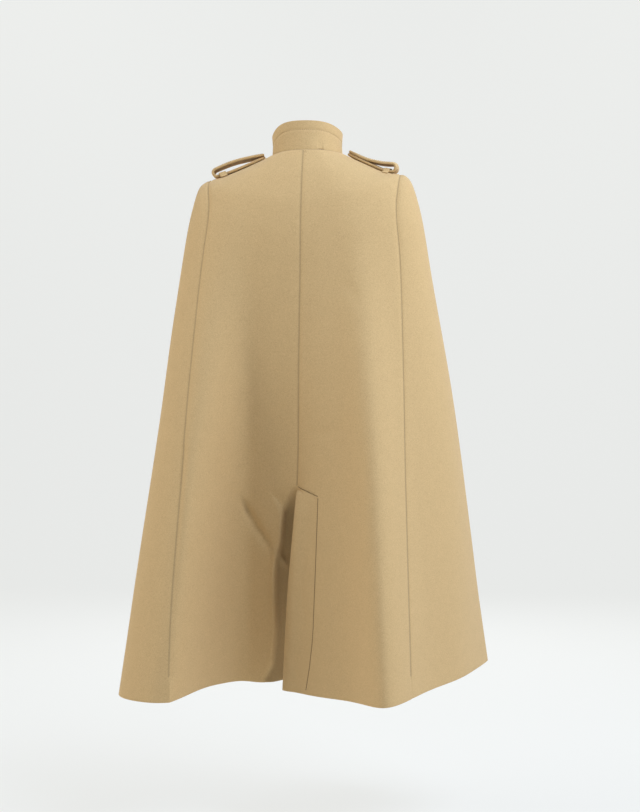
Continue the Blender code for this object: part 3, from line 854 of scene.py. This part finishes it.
# The stand collar
# A strip of double wool that stands round the neck, sewn to the neckline and stitched
# once round below its rim in thread of the wool's own colour.
COLLAR_THICKNESS = 0.004
COLLAR_EDGE = 0.0016
COLLAR_SEWN_WITHIN = 0.0022
COLLAR_STITCHED_AT = 0.018
COLLAR_GROOVE = 0.0007
COLLAR_GROOVE_WIDTH = 0.0022
COLLAR_BEND = ((0.0515, 0.0503, 0.0286), (0.0532, 0.0482, 0.0169), (0.0538, 0.0484, 0.0027))
COLLAR_BEND_WIDTH = 0.0040
COLLAR_BEND_RISE = 0.0009
CAMEL_THREAD_COLOUR = (0.36, 0.24, 0.12)
COLLAR_STITCH = (0.0028, 0.0012, 0.00035)

collar = cloth_face("collar", "collar_cloth", TO_BACK, COLLAR_THICKNESS)
neckline = np.concatenate([rims[name] for name in ("back_left", "back_right", "front_left", "front_right")])
sew_to(collar, neckline, COLLAR_SEWN_WITHIN)
neck_places = searchable(neckline[:, 0])
rim_places = np.unique(rim_of(collar).reshape(-1, 3), axis=0)
on_top = [neck_places.find(place)[2] > COLLAR_STITCHED_AT for place in rim_places]
top_places = rim_places[on_top]
top_rim = searchable(top_places)
below_rim = np.array([top_rim.find(point)[2] for point in points_of(collar)])
move_points(collar, -COLLAR_GROOVE * bell(below_rim - COLLAR_STITCHED_AT, COLLAR_GROOVE_WIDTH))
crease(collar, COLLAR_BEND, COLLAR_BEND_WIDTH, -COLLAR_BEND_RISE)
round_order = np.argsort(np.arctan2(top_places[:, 0], top_places[:, 1]))
collar_stitch_path = top_places[round_order] - np.array([0, 0, COLLAR_STITCHED_AT])
give_thickness(collar, COLLAR_THICKNESS, COLLAR_EDGE)
dress(collar, "collar")
camel_thread = sewing_thread("camel_thread", CAMEL_THREAD_COLOUR)
stitch_row("collar_topstitch", collar, collar_stitch_path, COLLAR_STITCH, camel_thread)


# The shoulder straps and their keepers
# Each strap is a tab folded double and stitched along both its edges. A narrow loop sewn
# to the shoulder keeps it down near its outer end.
STRAP_ROUNDS = 2
STRAP_EDGE = 0.0016
LOOP_EDGE = 0.0008
STRAP_EDGE_ANGLE = math.radians(60)
STRAP_MIDDLE = 0.011
STRAP_STITCHED = 0.0155
STRAP_STITCH_START = 0.100
STRAP_STITCH_END = 0.172
STRAP_STITCH_SPOTS = 10
STRAP_STITCH = (0.0030, 0.0012, 0.00040)


def round_over(node, name, edge):
    """A fine copy of a solid whose edges are rounded over."""
    piece = copied_solid(node, name)
    bpy.ops.object.mode_set(mode="OBJECT")
    round_edges(piece, edge, STRAP_EDGE_ANGLE)
    make_finer(piece, STRAP_ROUNDS)
    return piece


for side, outward in (("left", 1), ("right", -1)):
    strap = round_over("epaulette_" + side, "strap_" + side, STRAP_EDGE)
    dress(strap, "epaulette_" + side)
    loop = round_over("keeper_" + side, "loop_" + side, LOOP_EDGE)
    dress(loop, "keeper_" + side)
    surface = BVHTree.FromObject(strap, bpy.context.evaluated_depsgraph_get())
    for edge_name, beside in (("back", STRAP_STITCHED), ("front", -STRAP_STITCHED)):
        line = []
        for across in np.linspace(STRAP_STITCH_START, STRAP_STITCH_END, STRAP_STITCH_SPOTS):
            above = Vector((outward * across, STRAP_MIDDLE + beside, 1))
            place = surface.ray_cast(above, Vector((0, 0, -1)))[0]
            if place is not None:
                line.append(tuple(place))
        stitch_row(f"strap_stitch_{side}_{edge_name}", strap, line, STRAP_STITCH, camel_thread)


# The front buttons
# Five dark brown horn buttons, turned with a raised rim and a dished face, and sewn on
# through four holes. Each closes the front through a stitched buttonhole.
HORN_COLOUR = (0.100, 0.055, 0.028)
HORN_DARK = (0.040, 0.020, 0.010)
HORN_LIGHT = (0.210, 0.125, 0.065)
HORN_GRAIN_SCALE = (90.0, 90.0, 520.0)
HORN_GRAIN_TURN = (0.0, 0.5, 0.0)
BUTTON_COUNT = 5
BUTTON_SIDES = 64
BUTTON_RADIUS = 0.0125
BUTTON_THICK = 0.0045
BUTTON_RIM = 0.0026
BUTTON_DISH = 0.0010
BUTTON_EDGE = 0.0010
BUTTON_EDGE_STEPS = 4
BUTTON_SMOOTH_ANGLE = math.radians(35)
FACES_UP = 0.9
HOLE_SIDES = 16
HOLE_RADIUS = 0.0010
HOLE_PLACE = 0.0024
HOLE_SIGNS = ((1, 1), (-1, 1), (-1, -1), (1, -1))
STRAND_SIDES = 10
STRAND_RINGS = 8
STRAND_RADIUS = 0.00055
STRAND_HALF_LENGTH = 1.9 * HOLE_PLACE
STRAND_LEVEL = BUTTON_THICK / 2 - BUTTON_DISH + 0.6 * STRAND_RADIUS
STRAND_SLANTS = (45, 135)
BUTTONHOLE_LENGTH = 0.029
BUTTONHOLE_PAST_BUTTON = 0.006
BUTTONHOLE_HALF = 0.0013
BUTTONHOLE_STITCH = (0.0019, 0.0004, 0.00045)


def dark_horn(name):
    """Polished horn: streaks of brown that run one way through a dark ground."""
    polished = bpy.data.materials.new(name)
    polished.use_nodes = True
    nodes, links = polished.node_tree.nodes, polished.node_tree.links
    finish = nodes["Principled BSDF"]
    finish.inputs["Roughness"].default_value = 0.46
    finish.inputs["Specular IOR Level"].default_value = 0.32
    finish.inputs["Coat Weight"].default_value = 0.08
    finish.inputs["Coat Roughness"].default_value = 0.25
    place = nodes.new("ShaderNodeTexCoord")
    grain = nodes.new("ShaderNodeMapping")
    grain.inputs["Scale"].default_value = HORN_GRAIN_SCALE
    grain.inputs["Rotation"].default_value = HORN_GRAIN_TURN
    links.new(place.outputs["Object"], grain.inputs["Vector"])
    streaks = nodes.new("ShaderNodeTexNoise")
    streaks.inputs["Scale"].default_value = 1.0
    streaks.inputs["Detail"].default_value = 5.0
    streaks.inputs["Distortion"].default_value = 0.8
    links.new(grain.outputs["Vector"], streaks.inputs["Vector"])
    browns = nodes.new("ShaderNodeValToRGB")
    browns.color_ramp.elements[0].position = 0.32
    browns.color_ramp.elements[0].color = (*HORN_DARK, 1.0)
    browns.color_ramp.elements[1].position = 0.74
    browns.color_ramp.elements[1].color = (*HORN_LIGHT, 1.0)
    middle = browns.color_ramp.elements.new(0.5)
    middle.color = (*HORN_COLOUR, 1.0)
    links.new(streaks.outputs["Fac"], browns.inputs["Fac"])
    links.new(browns.outputs["Color"], finish.inputs["Base Color"])
    scratches = nodes.new("ShaderNodeBump")
    scratches.inputs["Strength"].default_value = 0.08
    scratches.inputs["Distance"].default_value = 0.0002
    links.new(streaks.outputs["Fac"], scratches.inputs["Height"])
    links.new(scratches.outputs["Normal"], finish.inputs["Normal"])
    return polished


horn = dark_horn("dark_horn")

bpy.ops.object.select_all(action="DESELECT")
bpy.ops.mesh.primitive_cylinder_add(vertices=BUTTON_SIDES, radius=BUTTON_RADIUS, depth=BUTTON_THICK)
turned_button = bpy.context.object
bpy.ops.object.mode_set(mode="EDIT")
bpy.ops.mesh.select_all(action="DESELECT")
disc = bmesh.from_edit_mesh(turned_button.data)
for face in disc.faces:
    face.select_set(face.normal.z > FACES_UP)
bmesh.update_edit_mesh(turned_button.data)
bpy.ops.mesh.inset(thickness=BUTTON_RIM)
bpy.ops.mesh.inset(thickness=BUTTON_DISH)
bpy.ops.transform.translate(value=(0, 0, -BUTTON_DISH))
bpy.ops.mesh.select_all(action="DESELECT")
disc = bmesh.from_edit_mesh(turned_button.data)
for edge in disc.edges:
    from_middle = [end.co.to_2d().length for end in edge.verts]
    level = abs(edge.verts[0].co.z - edge.verts[1].co.z) < BUTTON_EDGE / 10
    edge.select_set(level and min(from_middle) > BUTTON_RADIUS - BUTTON_EDGE / 10)
bmesh.update_edit_mesh(turned_button.data)
bpy.ops.mesh.bevel(offset=BUTTON_EDGE, segments=BUTTON_EDGE_STEPS, affect="EDGES")
bpy.ops.object.mode_set(mode="OBJECT")
for across, up in HOLE_SIGNS:
    hole_place = (across * HOLE_PLACE, up * HOLE_PLACE, 0)
    bpy.ops.mesh.primitive_cylinder_add(
        vertices=HOLE_SIDES, radius=HOLE_RADIUS, depth=3 * BUTTON_THICK, location=hole_place
    )
    drill = bpy.context.object
    hole = turned_button.modifiers.new("hole", "BOOLEAN")
    hole.operation = "DIFFERENCE"
    hole.solver = "EXACT"
    hole.object = drill
    bpy.context.view_layer.objects.active = turned_button
    bpy.ops.object.modifier_apply(modifier="hole")
    bpy.data.objects.remove(drill)
bpy.ops.object.select_all(action="DESELECT")
turned_button.select_set(True)
bpy.context.view_layer.objects.active = turned_button
bpy.ops.object.shade_smooth_by_angle(angle=BUTTON_SMOOTH_ANGLE)

# Two crossed pairs of strands lie in the dish, each over two of the holes.
strand_rows, strand_faces = strand_shape(STRAND_SIDES, STRAND_RINGS, STRAND_HALF_LENGTH, STRAND_RADIUS)
thread_corners, thread_faces = [], []
for slant in STRAND_SLANTS:
    for beside in (-STRAND_RADIUS, STRAND_RADIUS):
        turn = Matrix.Rotation(math.radians(slant), 3, "Z")
        first = len(thread_corners)
        for along, across, up in strand_rows:
            corner = turn @ Vector((along, across + beside, up))
            thread_corners.append(corner + Vector((0, 0, STRAND_LEVEL)))
        thread_faces += [tuple(first + corner for corner in face) for face in strand_faces]

for number in range(1, BUTTON_COUNT + 1):
    solid_points = points_of(frame["nodes"][f"button_{number}"])
    middle = solid_points.mean(axis=0)
    facing = Vector(np.linalg.svd(solid_points - middle, full_matrices=False)[2][2])
    if facing.y > 0:
        facing.negate()
    seat = Matrix.Translation(Vector(middle)) @ facing.to_track_quat("Z", "Y").to_matrix().to_4x4()
    button = bpy.data.objects.new(f"horn_button_{number}", turned_button.data.copy())
    bpy.context.scene.collection.objects.link(button)
    button.data.transform(seat)
    button.data.materials.append(horn)
    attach(button, "root")
    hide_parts(f"button_{number}")
    sewn = [seat @ corner for corner in thread_corners]
    thread_piece(f"button_thread_{number}", sewn, thread_faces, brown_thread)
    left = middle[0] - BUTTONHOLE_LENGTH + BUTTONHOLE_PAST_BUTTON
    right = middle[0] + BUTTONHOLE_PAST_BUTTON
    low, high = middle[2] - BUTTONHOLE_HALF, middle[2] + BUTTONHOLE_HALF
    under = ((left, low), (middle[0], low), (right, low))
    over = ((right, high), (middle[0], high), (left, high))
    outline = laid_on(fronts["right"], TO_FRONT, under + over + under[:1])
    stitch_row(f"buttonhole_{number}", fronts["right"], outline, BUTTONHOLE_STITCH, camel_thread)
bpy.data.objects.remove(turned_button)
